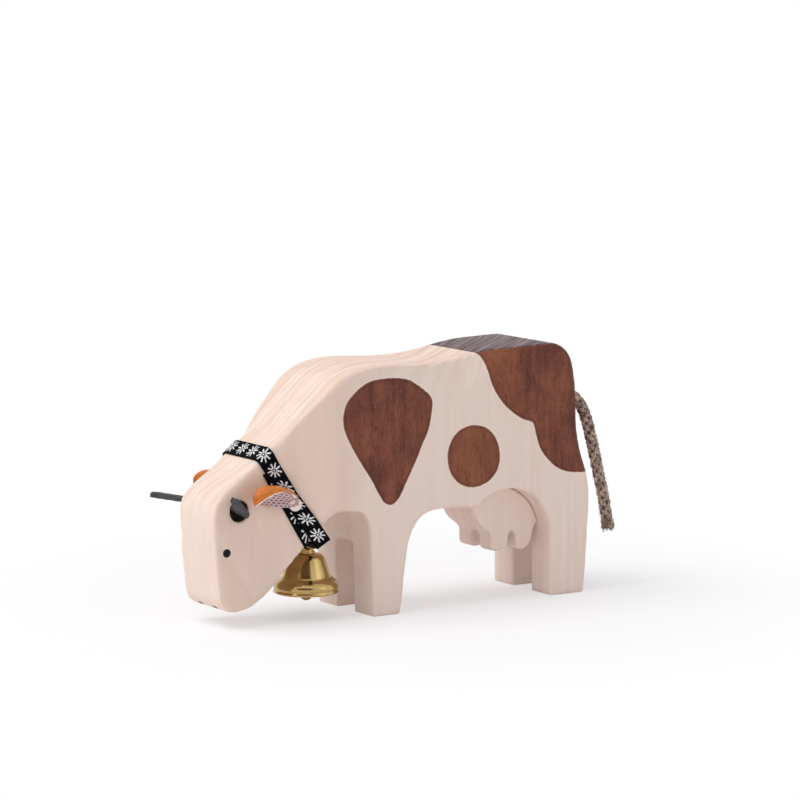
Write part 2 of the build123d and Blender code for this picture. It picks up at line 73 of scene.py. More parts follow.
class Tone:
    """A node's output; sums of tones and numbers add Math nodes."""

    def __init__(self, finish, socket):
        self.finish, self.socket = finish, socket

    def other(self, output):
        return Tone(self.finish, self.socket.node.outputs[output])

    def maths(self, operation, first, second=None):
        inputs = {0: first} if second is None else {0: first, 1: second}
        return self.finish.add("ShaderNodeMath", {"operation": operation}, inputs)

    def __add__(self, other):
        return self.maths("ADD", self, other)

    def __radd__(self, other):
        return self.maths("ADD", other, self)

    def __sub__(self, other):
        return self.maths("SUBTRACT", self, other)

    def __rsub__(self, other):
        return self.maths("SUBTRACT", other, self)

    def __mul__(self, other):
        return self.maths("MULTIPLY", self, other)

    def __truediv__(self, other):
        return self.maths("DIVIDE", self, other)

    def __abs__(self):
        return self.maths("ABSOLUTE", self)

    def most(self, other):
        return self.maths("MAXIMUM", self, other)

    def sine(self):
        return self.maths("SINE", self)

    def squares(self, other):
        return self * self + other * other

    def root(self):
        return self.maths("SQRT", self)

    def angle(self, across):
        return self.maths("ARCTAN2", self, across)

    def floor(self):
        return self.maths("FLOOR", self)

    def off_middle(self):
        # How far the part after the whole number lies from one half
        return abs(self - self.floor() - 0.5)

    def step(self, low, high, start=0.0, end=1.0):
        # A soft step from start, where this tone is low, to end, where it is high
        inputs = {0: self, 1: low, 2: high, 3: start, 4: end}
        return self.finish.add("ShaderNodeMapRange", {"interpolation_type": "SMOOTHSTEP"}, inputs)


class Finish:
    """One material of this object, or the sky, built node by node."""

    def __init__(self, name, material=None):
        self.material = material or bpy.data.materials.new(name)
        self.material.use_nodes = True
        self.tree = self.material.node_tree
        self.tree.nodes.clear()

    def add(self, kind, settings=None, inputs=None, output=0):
        node = self.tree.nodes.new(kind)
        for name, value in (settings or {}).items():
            setattr(node, name, value)
        for name, value in (inputs or {}).items():
            if isinstance(value, Tone):
                self.tree.links.new(value.socket, node.inputs[name])
            else:
                node.inputs[name].default_value = value
        return Tone(self, node.outputs[output]) if node.outputs else None

    def place(self):
        # Object coordinates in millimetres
        spot = self.add("ShaderNodeTexCoord", output="Object")
        return self.add("ShaderNodeVectorMath", {"operation": "SCALE"}, {0: spot, "Scale": 1 / MM})

    def axes(self, vector):
        first = self.add("ShaderNodeSeparateXYZ", inputs={0: vector})
        return first, first.other(1), first.other(2)

    def mark(self, name):
        # A number that the mesh keeps for every vertex
        return self.add("ShaderNodeAttribute", {"attribute_name": name}, output="Fac")

    def noise(self, vector, scale, detail=2.0, roughness=0.5):
        stretched = self.add("ShaderNodeMapping", inputs={"Vector": vector, "Scale": scale})
        settings = {"Vector": stretched, "Scale": 1.0, "Detail": detail, "Roughness": roughness}
        return self.add("ShaderNodeTexNoise", inputs=settings)

    def mix(self, share, first, second):
        return self.add("ShaderNodeMix", {"data_type": "RGBA"}, {0: share, 6: first, 7: second}, 2)

    def bump(self, height, depth, strength):
        inputs = {"Height": height, "Distance": depth * MM, "Strength": strength}
        return self.add("ShaderNodeBump", inputs=inputs)

    def surface(self, **inputs):
        inputs = {name.replace("_", " "): value for name, value in inputs.items()}
        shader = self.add("ShaderNodeBsdfPrincipled", inputs=inputs)
        self.add("ShaderNodeOutputMaterial", inputs={"Surface": shader})
        return self.material


def paint(red, green, blue):
    # A colour from 0 to 255 as the eye reads it, as the shader wants it
    shares = [c / 255 for c in (red, green, blue)]
    return [s / 12.92 if s <= 0.04045 else ((s + 0.055) / 1.055) ** 2.4 for s in shares] + [1.0]


def show(name, mesh, body, materials):
    # A finished piece with its looks, on the body that it rides. Clearing an empty list of
    # materials would make every face take the first one.
    piece = placed(name, mesh)
    if mesh.materials:
        mesh.materials.clear()
    for material in materials:
        mesh.materials.append(material)
    mesh.polygons.foreach_set("use_smooth", [True] * len(mesh.polygons))
    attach(piece, body)
    return piece


def applied(thing):
    # The mesh that an object's curve or modifiers make; the object itself goes
    bpy.context.view_layer.update()
    graph = bpy.context.evaluated_depsgraph_get()
    mesh = bpy.data.meshes.new_from_object(thing.evaluated_get(graph), depsgraph=graph)
    bpy.data.objects.remove(thing)
    return mesh


def spots(mesh):
    found = np.zeros(len(mesh.vertices) * 3)
    mesh.vertices.foreach_get("co", found)
    return found.reshape(-1, 3) / MM


def mark(mesh, name, values):
    # Keeps one number for every vertex, for the materials to read
    mesh.attributes.new(name, "FLOAT", "POINT").data.foreach_set("value", values.astype(np.float32))


def lengths_along(points):
    # How far every point of a line lies from its start
    return np.concatenate([[0], np.cumsum(np.linalg.norm(np.diff(points, axis=0), axis=1))])


tail_route = [
    (54.663, 0, 59.2), (61.063, 0, 59.2), (66.913, 0, 56.6), (71.163, -0.5, 51.9), (73.663, -1.2, 42.2),
    (75.313, -1.9, 33.3), (77.413, -2.5, 24.5), (78.563, -3.0, 15.6),
]
route_curve = bpy.data.curves.new("tail_route", "CURVE")
route_curve.dimensions = "3D"
route_curve.resolution_u = 24
route_spline = route_curve.splines.new("NURBS")
route_spline.points.add(len(tail_route) - 1)
for point, spot in zip(route_spline.points, tail_route):
    point.co = (*(Vector(spot) * MM), 1)
route_spline.order_u = 3
route_spline.use_endpoint_u = True
route_line = spots(applied(placed("tail_route", route_curve)))

# Even steps along the route with a frame that does not twist
along_route = lengths_along(route_line)
tail_length = along_route[-1]
steps = np.linspace(0, tail_length, 260)
centres = np.stack([np.interp(steps, along_route, route_line[:, i]) for i in range(3)], axis=1)
headings = np.gradient(centres, axis=0)
headings = headings / np.linalg.norm(headings, axis=1)[:, None]
sides = [np.array([0.0, 1.0, 0.0])]
for heading in headings[1:]:
    turned = sides[-1] - heading * (sides[-1] @ heading)
    sides.append(turned / np.linalg.norm(turned))
sides = np.array(sides)
ups = np.cross(headings, sides)


def tail_point(step, angle, radius):
    # A point beside the route, at a distance along it and an angle and a radius around it
    index = min(max(step / tail_length * (len(steps) - 1), 0), len(steps) - 1.001)
    low = int(index)
    part = index - low
    centre = centres[low] * (1 - part) + centres[low + 1] * part
    side = sides[low] * (1 - part) + sides[low + 1] * part
    up = ups[low] * (1 - part) + ups[low + 1] * part
    return centre + (side * cos(angle) + up * sin(angle)) * radius


def strands(name, lines, thickness, sides_round):
    # Thin tubes through the given points, one per line, closed at both ends
    curve = bpy.data.curves.new(name, "CURVE")
    curve.dimensions = "3D"
    curve.bevel_depth = thickness * MM
    curve.bevel_resolution = sides_round
    curve.use_fill_caps = True
    for line in lines:
        spline = curve.splines.new("POLY")
        spline.points.add(len(line) - 1)
        for point, (spot, width) in zip(spline.points, line):
            point.co = (*(Vector(spot) * MM), 1)
            point.radius = width
    return applied(placed(name, curve))


# Four strands turn each way round a core, each weaving in and out and slightly uneven
braid_pitch, braid_radius, strand_thickness = 11.6, 0.98, 0.68
weave_depth, unevenness, core_width = 0.26, 0.13, 1.8
opened_length, opened_share = 3.2, 0.26
turns_per_way = 4
braid_lines = []
for hand in (1, -1):
    for k in range(turns_per_way):
        line = []
        for step in np.arange(0, tail_length - 0.4, 0.3):
            turn = tau * step / braid_pitch
            wave = hand * weave_depth * cos(turns_per_way * turn)
            opened = 1 + opened_share * max(0, (step - tail_length + opened_length) / opened_length)
            wander = unevenness * sin(step * 0.83 + k * 2.1 + hand)
            angle = tau * k / turns_per_way + hand * turn + wander
            line.append((tail_point(step, angle, (braid_radius + wave) * opened), 1))
        braid_lines.append(line)
braid_lines.append([(tail_point(step, 0, 0), core_width) for step in np.arange(0, tail_length - 0.6, 0.6)])
tail_mesh = strands("tail_braid", braid_lines, strand_thickness, 2)

# How deep every point lies between the strands, from 0 on the outside to 1 in a groove, kept to paint shade
# into the grooves
braid_outside, groove_depth = 1.76, 0.5
off_centre = []
for part in np.array_split(spots(tail_mesh), 40):
    off_centre.append(np.min(np.linalg.norm(part[:, None] - centres[None], axis=2), axis=1))
mark(tail_mesh, "groove_shade", np.clip((braid_outside - np.concatenate(off_centre)) / groove_depth, 0, 1))

flax = Finish("flax_cord")
flax_place = flax.place()
flax_fibre = flax.noise(flax_place, (3.6, 3.6, 1.6), 4.0, 0.65)
flax_patch = flax.noise(flax_place, (0.5, 0.5, 0.35), 2.0)
flax_tone = (flax_fibre * 0.75 + flax_patch * 0.35 - 0.05).step(0.36, 0.64)
flax_colour = flax.mix(flax_tone, paint(104, 82, 72), paint(226, 206, 190))
# Painted shade: the braid's colour darkens deep in the grooves between the strands
flax_colour = flax.mix(flax.mark("groove_shade").step(0.2, 0.9) * 0.75, flax_colour, paint(62, 46, 40))
flax_finish = flax.surface(
    Base_Color=flax_colour, Roughness=0.85, Normal=flax.bump(flax_fibre, 0.3, 0.7), Specular_IOR_Level=0.1,
)
tail_braid = show("tail_braid", tail_mesh, "figure", [flax_finish])
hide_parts("tail_rope")

# Loose fibres: a frayed tuft at the free end and short hairs lifting off the braid
rng = np.random.default_rng(7)
tuft_fibres, lifted_hairs = 72, 130
tuft_radius, hair_radius, fibre_thickness = 1.8, 1.7, 0.16
fray_lines = []
for _ in range(tuft_fibres):
    angle, radius = rng.uniform(0, tau), tuft_radius * rng.uniform(0, 1) ** 0.5
    start = tail_length - rng.uniform(1.0, 2.6)
    reach = rng.uniform(1.2, 2.7)
    flare = rng.uniform(0.0, 0.3)
    line = []
    for share in np.linspace(0, 1, 6):
        base = tail_point(min(start + reach * share, tail_length), angle, radius * (1 + flare * share ** 1.5))
        over = max(start + reach * share - tail_length, 0)
        line.append((base + headings[-1] * over * 0.8, 1.0 - 0.55 * share))
    fray_lines.append(line)
for _ in range(lifted_hairs):
    angle, start = rng.uniform(0, tau), rng.uniform(4.5, tail_length - 2)
    reach, lift = rng.uniform(1.2, 2.8), rng.uniform(0.1, 0.7)
    turn = rng.uniform(-0.7, 0.7)
    line = []
    for share in np.linspace(0, 1, 5):
        radius = hair_radius + lift * share ** 2
        spot = tail_point(min(start + reach * share, tail_length), angle + turn * share, radius)
        line.append((spot, 0.42 * (1 - 0.6 * share)))
    fray_lines.append(line)
fray_mesh = strands("tail_fray", fray_lines, fibre_thickness, 0)
tail_fray = show("tail_fray", fray_mesh, "figure", [flax_finish])

# Body
# One board of pale limewood, 30 mm thick, sawn to the cow's outline and thinned towards the
# nose. Its edges are sanded round by hand, most at the forehead and the chest, and the brown
# patches are painted on with wood stain that lets the grain show through.
half_board, half_head = 15, 10
horn_hole, ear_hole, tail_hole = (-52.437, 33.1), (-43.24, 35.3), (0, 59.2)


def as_mesh(shape, name, unit=1):
    # The mesh of a drawn shape, whose unit is given in metres; the shape itself goes
    bmesh.ops.scale(shape, vec=(unit, unit, unit), verts=shape.verts)
    mesh = bpy.data.meshes.new(name)
    shape.to_mesh(mesh)
    shape.free()
    return mesh


def even_blank(node, voxel):
    # A merged copy of the CAD node with an even net of small faces
    blank = bmesh.new()
    blank.from_mesh(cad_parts[node].data)
    bmesh.ops.remove_doubles(blank, verts=blank.verts, dist=0.002 * MM)
    holder = placed(node + "_blank", as_mesh(blank, node + "_blank"))
    remesh = holder.modifiers.new("even", "REMESH")
    remesh.mode = "VOXEL"
    remesh.voxel_size = voxel * MM
    return applied(holder)


def sanded(mesh, passes):
    # Each pass is a number of strokes and how hard every vertex is rubbed, from 0 to 1
    holder = placed("sanded", mesh)
    for number, (strokes, force) in enumerate(passes):
        group = holder.vertex_groups.new(name=f"rub_{number}")
        level = np.round(np.clip(force, 0, 1) * 10).astype(int)
        for tenth in range(1, 11):
            chosen = np.nonzero(level == tenth)[0].tolist()
            if chosen:
                group.add(chosen, tenth / 10, "REPLACE")
        rub = holder.modifiers.new(f"rub_{number}", "SMOOTH")
        rub.factor = 0.5
        rub.iterations = strokes
        rub.vertex_group = group.name
    return applied(holder)


def ramp(value, low, high):
    # A soft step from 0, where the value is low, to 1, where it is high
    share = np.clip((value - low) / (high - low), 0, 1)
    return share * share * (3 - 2 * share)


# The edges stay crisp round the drilled holes, whose distance is measured here
body_blank = even_blank("wooden_body", 0.52)
x, y, z = spots(body_blank).T
horn_clear = np.where(np.abs(y) > 3, ramp(np.hypot(x - horn_hole[0], z - horn_hole[1]), 3.9, 5.4), 1)
ear_clear = np.where(np.abs(y) > 3, ramp(np.hypot(x - ear_hole[0], z - ear_hole[1]), 2.2, 3.4), 1)
tail_clear = np.where(x > 50, ramp(np.hypot(y - tail_hole[0], z - tail_hole[1]), 2.4, 3.6), 1)
clear = np.minimum(np.minimum(horn_clear, ear_clear), tail_clear)
head_force = ramp(-x, 37, 43) * clear
poll_force = ramp(-x, 36, 41) * ramp(z, 35.5, 39.5) * clear
chest_force = ramp(-x, 4, 9) * ramp(x, -32, -27) * ramp(-z, -33, -28) * ramp(z, 17, 24)
body_mesh = sanded(body_blank, [(4, clear), (22, head_force), (70, poll_force), (30, chest_force)])

# The waist is drawn in a little more in front of the rump, above a line that climbs backwards
waist_depth, crest_rise, back_height = 1.5, 0.7, 73.5
body_spots = spots(body_mesh)
x, y, z = body_spots.T
facet_foot = np.interp(x, [8, 13, 18, 22, 26.5, 32, 36.5], [60.3, 61.2, 62.7, 64.3, 66.3, 69.7, 72.9])
facet_share = np.clip((z - facet_foot) / (back_height - facet_foot), 0, 1)
waist = waist_depth * facet_share * ramp(x, 4, 23) * ramp(-x, -38, -27)
crest = crest_rise * ramp(z, 55, 70) * ramp(x, 16, 29) * ramp(-x, -46, -28)
body_spots[:, 1] *= 1 - waist / half_board
body_spots[:, 2] += crest

# The throat is filed a little hollow, square to its slope, so that the bell hangs free of it
throat_depth, throat_start = 1.35, (-40, 12.4)
throat_up = (-0.747, 0.664)
above_throat = (x - throat_start[0]) * throat_up[0] + (z - throat_start[1]) * throat_up[1]
filed = throat_depth * ramp(-above_throat, -7.0, 0.5) * ramp(x, -49.0, -33.5) * ramp(-x, 17, 24)
body_spots[:, 0] += filed * throat_up[0]
body_spots[:, 2] += filed * throat_up[1]
body_mesh.vertices.foreach_set("co", (body_spots * MM).ravel())
body_mesh.update()
throat_force = ramp(-above_throat, -3.0, 0.0) * ramp(x, -53, -49) * ramp(-x, 20, 26)
body_mesh = sanded(body_mesh, [(40, throat_force)])

# Outlines of the stained patches on the side, drawn with straight runs and then rounded
shoulder_patch = [
    (-5.6, 67.7), (-2.2, 67.3), (0.6, 66.7), (3.3, 65.1), (6.2, 62.9), (7.9, 61.2), (8.2, 59.0),
    (7.6, 55.3), (6.7, 51.5), (4.8, 48.3), (3.4, 45.1), (1.7, 41.9), (-1.1, 36.9), (-2.8, 33.7),
    (-4.5, 31.9), (-6.4, 31.4), (-8.4, 32.5), (-10.1, 35.3), (-12.8, 40.0), (-16.1, 44.5), (-19.7, 50.3),
    (-21.4, 54.1), (-21.8, 56.9), (-21.2, 60.4), (-19.7, 62.7), (-16.0, 65.8), (-12.1, 67.5),
]
flank_patch = [
    (22.3, 52.3), (25.8, 51.6), (28.3, 50.0), (30.4, 47.2), (31.5, 43.2), (31.0, 39.4), (28.9, 36.4),
    (25.9, 34.7), (22.3, 34.1), (18.7, 34.8), (15.9, 36.7), (13.8, 39.7), (13.1, 43.8), (13.9, 47.3),
    (16.0, 50.3), (19.0, 51.9),
]
rump_patch = [
    (24.5, 80.0), (24.5, 73.0), (24.6, 72.4), (25.9, 71.5), (26.7, 69.8), (27.3, 66.8), (28.5, 63.3),
    (30.2, 60.4), (32.0, 58.2), (33.9, 56.2), (37.1, 53.8), (40.0, 52.3), (41.7, 51.9), (43.0, 51.4),
    (43.6, 49.2), (44.5, 45.7), (45.6, 43.2), (47.7, 40.6), (50.7, 37.9), (53.7, 36.4), (57.2, 35.7),
    (61.1, 35.5), (80.0, 35.3), (80.0, 80.0),
]
rump_patch_corners = (0, 12, 22, 23)


def rounded(outline, sharp=()):
    # Corner cutting, twice; the corners whose numbers are in sharp stay
    points, kept = [np.array(p) for p in outline], set(sharp)
    for _ in range(2):
        new, still = [], set()
        for i, point in enumerate(points):
            before, after = points[i - 1], points[(i + 1) % len(points)]
            if i in kept:
                still.add(len(new))
                new.append(point)
            else:
                new += [point * 0.75 + before * 0.25, point * 0.75 + after * 0.25]
        points, kept = new, still
    return np.array(points)


def depth_inside(outline, px, pz):
    # Distance to the outline in millimetres, above zero inside it
    nearest = np.full(len(px), 1e9)
    inside = np.zeros(len(px), bool)
    for (ax, az), (bx, bz) in zip(outline, np.roll(outline, -1, axis=0)):
        run_x, run_z = bx - ax, bz - az
        share = np.clip(((px - ax) * run_x + (pz - az) * run_z) / (run_x ** 2 + run_z ** 2), 0, 1)
        nearest = np.minimum(nearest, np.hypot(px - ax - share * run_x, pz - az - share * run_z))
        if run_z:
            inside ^= ((az > pz) != (bz > pz)) & (px < run_x * (pz - az) / run_z + ax)
    return np.where(inside, nearest, -nearest)


def mark_end_grain(mesh):
    # How far every vertex faces up or down, where the board shows its end grain
    facing = np.zeros(len(mesh.vertices) * 3)
    mesh.vertices.foreach_get("normal", facing)
    mark(mesh, "endgrain", np.abs(facing.reshape(-1, 3)[:, 2]))


x, y, z = spots(body_mesh).T
patches = [rounded(shoulder_patch), rounded(flank_patch), rounded(rump_patch, rump_patch_corners)]
mark(body_mesh, "stain", np.max([depth_inside(patch, x, z) for patch in patches], axis=0))
mark_end_grain(body_mesh)
pith = (-22, 72)
eye_place, eye_radius, eye_soft_radius = (-56.44, 21.7), 1.12, 1.3
bore_radius, bore_soft_radius = 3.05, 3.25
nostril_side, nostril_height = 4.0, 5.9
nostril_half_width, nostril_half_height = 1.15, 0.46


def stained(wood, spot, wx, end, fibre, rings):
    # Brown stain: brushed along the sides, where it soaks in unevenly and is thinner on the
    # round patch, and greyer on the rump's end grain, where the rings show through
    drag = wood.noise(spot, (0.55, 0.55, 0.045), 3.0, 0.6)
    blotch = wood.noise(spot, (0.13, 0.13, 0.09), 3.0, 0.55)
    soaked = drag.step(0.3, 0.7) * 0.4 + blotch.step(0.32, 0.68) * 0.6 + fibre.step(0.35, 0.7) * 0.25 - 0.12
    side_stain = wood.mix(soaked, paint(140, 84, 64), paint(92, 50, 44))
    thin_coat = wx.step(9.0, 15.0) * wx.step(42.0, 32.0)
    side_stain = wood.mix(thin_coat * 0.42, side_stain, paint(154, 96, 66))
    warm = wood.noise(spot, (1.8, 1.8, 0.7), 3.0, 0.7).step(0.52, 0.76)
    side_stain = wood.mix(warm * 0.6, side_stain, paint(166, 106, 80))
    ink = wood.noise(spot, (1.1, 1.1, 0.35), 4.0, 0.7).step(0.52, 0.7)
    side_stain = wood.mix(ink * 0.55, side_stain, paint(66, 34, 28))
    speck = wood.noise(spot, (2.1, 2.1, 2.1), 1.0).step(0.7, 0.8)
    side_stain = wood.mix(speck * 0.4, side_stain, paint(190, 140, 122))
    top_line = wood.noise(rings, (1.1, 0.03, 0.03), 3.0, 0.7).step(0.38, 0.64)
    top_grain = top_line * 0.8 + (fibre - 0.5) * 0.4
    top_stain = wood.mix(top_grain, paint(60, 41, 43), paint(145, 121, 124))
    return wood.mix(end.step(0.7, 0.95), side_stain, top_stain)


def limewood(name, painted):
    # The grain runs upright, so the growth rings show as arcs on the board's upper edge
    wood = Finish(name)
    spot = wood.place()
    wx, wy, wz = wood.axes(spot)
    end = wood.mark("endgrain")
    pith_x, pith_y = wx - pith[0], wy - pith[1]
    pith_gap = pith_x.squares(pith_y).root()
    rings = wood.add("ShaderNodeCombineXYZ", inputs={0: pith_gap, 1: wx, 2: wz})
    ring = wood.noise(rings, (0.85, 0.01, 0.01), 1.0, 0.4).step(0.4, 0.62)
    thin_ring = wood.noise(rings, (2.5, 0.06, 0.06), 3.0, 0.65).step(0.48, 0.66)
    streak = wood.noise(spot, (0.4, 0.4, 0.02), 3.0, 0.5).step(0.35, 0.75)
    fibre = wood.noise(spot, (5.0, 5.0, 0.22), 2.0, 0.6)
    pore = wood.noise(spot, (2.2, 2.2, 0.35), 1.0).step(0.7, 0.8)
    cloud = wood.noise(spot, (0.045, 0.045, 0.03), 2.0)
    crosswise = end.step(0.12, 0.7, 0.2, 1.0)
    ring_tone = (ring * 0.34 + thin_ring * 0.5) * crosswise * end.step(0.8, 0.99, 0.75, 1.2)
    bare = wood.mix(ring_tone + streak * 0.12 + cloud * 0.25, paint(247, 230, 219), paint(222, 190, 174))
    # Painted shade: the outer faces forward of the shoulder, the neck and head sides most, are darkened
    # towards the head
    head_side_shade = wx.step(-6.0, -24.0) * abs(wy).step(8.9, 9.7)
    bare = wood.mix(head_side_shade * 0.3, bare, paint(222, 186, 162))
    bare = wood.mix(fibre.step(0.45, 0.75) * 0.08, bare, paint(206, 178, 158))
    bare = wood.mix(pore * 0.16, bare, paint(188, 152, 132))
    height = fibre * 0.6 + thin_ring * crosswise * 0.3
    if not painted:
        bump = wood.bump(height, 0.05, 0.4)
        return wood.surface(Base_Color=bare, Roughness=0.62, Normal=bump, Specular_IOR_Level=0.15)

    # The stain's edge is slightly ragged, with a paler line outside it and a darker one inside
    inside = wood.mark("stain")
    ragged = inside + (wood.noise(spot, (1.3, 1.3, 0.5), 2.0) - 0.5) * 0.3
    covered = ragged.step(-0.15, 0.15)
    halo = ragged.step(-0.7, -0.25) * (1 - covered)
    rim = inside.step(0.0, 0.5) * (1 - inside.step(0.5, 1.3)) * 0.3
    dark = wood.mix(rim, stained(wood, spot, wx, end, fibre, rings), paint(78, 42, 36))
    colour = wood.mix(halo * 0.25, bare, paint(250, 236, 226))
    colour = wood.mix(covered, colour, dark)

    # A dark painted eye, the shade inside the horn's hole and two dark nostrils
    eye_x, eye_z = wx - eye_place[0], wz - eye_place[1]
    eye = eye_x.squares(eye_z).step(eye_soft_radius ** 2, eye_radius ** 2) * abs(wy).step(4.0, 5.0)
    colour = wood.mix(eye, colour, paint(22, 20, 26))
    bore_x, bore_z = wx - horn_hole[0], wz - horn_hole[1]
    bore = bore_x.squares(bore_z).step(bore_soft_radius ** 2, bore_radius ** 2)
    bore = bore * abs(wy).step(half_head - 0.25, half_head - 0.65)
    colour = wood.mix(bore * 0.85, colour, paint(58, 38, 26))
    nostril_y = (abs(wy) - nostril_side) / nostril_half_width
    nostril_z = (wz - nostril_height + abs(wy) * 0.05) / nostril_half_height
    nostril = nostril_y.squares(nostril_z).step(1.25, 0.75) * wx.step(-54.0, -55.0)
    colour = wood.mix(nostril, colour, paint(40, 28, 28))
    bump = wood.bump(height - nostril * 3 - eye * 0.5, 0.05, 0.4)
    roughness = 0.62 - covered * 0.14 - eye * 0.25
    return wood.surface(Base_Color=colour, Roughness=roughness, Normal=bump, Specular_IOR_Level=0.15)


wood_body = show("wood_body", body_mesh, "figure", [limewood("limewood_stained", True)])
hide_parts("wooden_body")

# Udder
# A half disc of the same wood, left unstained, with four teats sawn and sanded round.
# It is glued under the round arch between the belly and the hind legs.
udder_blank = even_blank("udder", 0.32)
udder_mesh = sanded(udder_blank, [(14, np.ones(len(udder_blank.vertices)))])
mark_end_grain(udder_mesh)
wood_udder = show("wood_udder", udder_mesh, "figure", [limewood("limewood_bare", False)])
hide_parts("udder")

# Horns
# Two flat strips cut from thick dark dyed leather, tapering to a blunt tip. Each is pushed
# into a drilled hole in the side of the forehead and bends forwards within its own plane.
horn_hide = Finish("horn_leather")
horn_place = horn_hide.place()
horn_pebble = horn_hide.noise(horn_place, (1.6, 1.6, 1.6), 4.0, 0.65)
horn_worn = horn_hide.noise(horn_place, (4.5, 4.5, 4.5), 2.0).step(0.56, 0.7)
horn_colour = horn_hide.mix(horn_pebble.step(0.35, 0.7), paint(44, 45, 49), paint(84, 85, 90))
horn_colour = horn_hide.mix(horn_worn * 0.5, horn_colour, paint(126, 126, 128))
horn_finish = horn_hide.surface(
    Base_Color=horn_colour, Roughness=0.6, Normal=horn_hide.bump(horn_pebble, 0.35, 0.8),
    Specular_IOR_Level=0.35,
)

# A horn strip's outline from its root in the hole: how far out and how far ahead
horn_thickness, horn_edge_round, horn_net = 1.5, 0.28, 0.7
horn_outline = [
    (-5.0, 2.75), (0.0, 2.8), (4.0, 4.9), (8.0, 8.0), (10.75, 10.65), (11.25, 10.9), (12.25, 9.75),
    (12.3, 9.25), (9.6, 5.8), (6.0, 1.6), (3.4, -1.0), (1.2, -2.75), (0.8, -2.8), (-5.0, -2.75),
]


def horn(name, node, side, rise):
    # Rise is the angle in degrees by which the bent part points up
    forward = Vector((-cos(radians(rise)), 0, sin(radians(rise))))
    outward = Vector((0, side, 0))
    strip = bmesh.new()
    corners = [strip.verts.new((out, ahead, -horn_thickness / 2)) for out, ahead in horn_outline]
    grown = bmesh.ops.extrude_face_region(strip, geom=[strip.faces.new(corners)])["geom"]
    upper = [part for part in grown if isinstance(part, bmesh.types.BMVert)]
    bmesh.ops.translate(strip, vec=(0, 0, horn_thickness), verts=upper)
    rims = [e for e in strip.edges if abs(e.verts[0].co.z - e.verts[1].co.z) < 1e-6]
    bmesh.ops.bevel(
        strip, geom=rims, offset=horn_edge_round, segments=2, profile=0.5, affect="EDGES", material=-1,
        clamp_overlap=True,
    )
    bmesh.ops.triangulate(strip, faces=[f for f in strip.faces if len(f.verts) > 4])
    for _ in range(3):
        long_edges = [e for e in strip.edges if e.calc_length() > horn_net]
        bmesh.ops.subdivide_edges(strip, edges=long_edges, cuts=1, use_grid_fill=False)
        bmesh.ops.triangulate(strip, faces=[f for f in strip.faces if len(f.verts) > 4])

    # The leather is thickest along its middle and slightly wavy
    for vert in strip.verts:
        out, ahead, thick = vert.co
        off_spine = abs(ahead - max(out, 0) * 0.75)
        ridge = 0.22 * max(0, 1 - off_spine / 1.5)
        ripple = 0.045 * sin(out * 2.1 + ahead * 1.3) + 0.03 * sin(out * 4.7 - ahead * 3.1)
        vert.co.z = thick * (1 + ridge) + (ripple if thick > 0 else -ripple)
    bmesh.ops.recalc_face_normals(strip, faces=strip.faces)
    turn = Matrix((outward, forward, forward.cross(outward))).transposed().to_4x4()
    if turn.determinant() < 0:
        bmesh.ops.reverse_faces(strip, faces=strip.faces)
    root = Matrix.Translation((horn_hole[0], side * half_head, horn_hole[1]))
    bmesh.ops.transform(strip, matrix=root @ turn, verts=strip.verts)
    piece = show(name, as_mesh(strip, name, MM), "figure", [horn_finish])
    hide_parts(node)


horn("horn_left", "left_horn", -1, 32)
horn("horn_right", "right_horn", 1, 8)

# Ears
# Curled troughs of tan leather, the smooth grain side out and the pale flesh side in, each
# ending in a rolled lobe whose stem is glued into a small hole behind the horn.


def hide_leather(name, light, dark, depth):
    hide = Finish(name)
    spot = hide.place()
    pore = hide.noise(spot, (2.6, 2.6, 2.6), 4.0, 0.6)
    mottle = hide.noise(spot, (0.35, 0.35, 0.35), 2.0)
    colour = hide.mix((pore * 0.6 + mottle * 0.5).step(0.35, 0.8), light, dark)
    bump = hide.bump(pore, depth, 0.7)
    return hide.surface(Base_Color=colour, Roughness=0.55, Normal=bump, Specular_IOR_Level=0.35)


grain_side = hide_leather("ear_grain_side", paint(232, 136, 50), paint(184, 92, 38), 0.15)
cut_edge = hide_leather("ear_cut_edge", paint(255, 246, 238), paint(238, 214, 200), 0.25)
flesh = Finish("ear_flesh_side")
flesh_u, flesh_v = flesh.axes(flesh.add("ShaderNodeUVMap", {"uv_map": "leather"}))[:2]
fuzz = flesh.noise(flesh.place(), (3.0, 3.0, 3.0), 3.0, 0.6)

# Rows of short pressed dashes, every second row half a dash further
dash_row_gap, dash_gap = 0.8, 1.5
row = flesh_v / dash_row_gap
dash = flesh_u / dash_gap + row.floor() * 0.5
dashes = row.off_middle().step(0.34, 0.16) * dash.off_middle().step(0.38, 0.26)
flesh_colour = flesh.mix(fuzz.step(0.3, 0.7), paint(240, 216, 218), paint(212, 182, 184))
flesh_colour = flesh.mix(dashes * 0.85, flesh_colour, paint(104, 68, 66))
flesh_finish = flesh.surface(
    Base_Color=flesh_colour, Roughness=0.85, Normal=flesh.bump(fuzz - dashes * 0.6, 0.2, 0.8),
    Specular_IOR_Level=0.2,
)
pale_lobe = hide_leather("ear_lobe", paint(250, 240, 236), paint(232, 214, 208), 0.2)

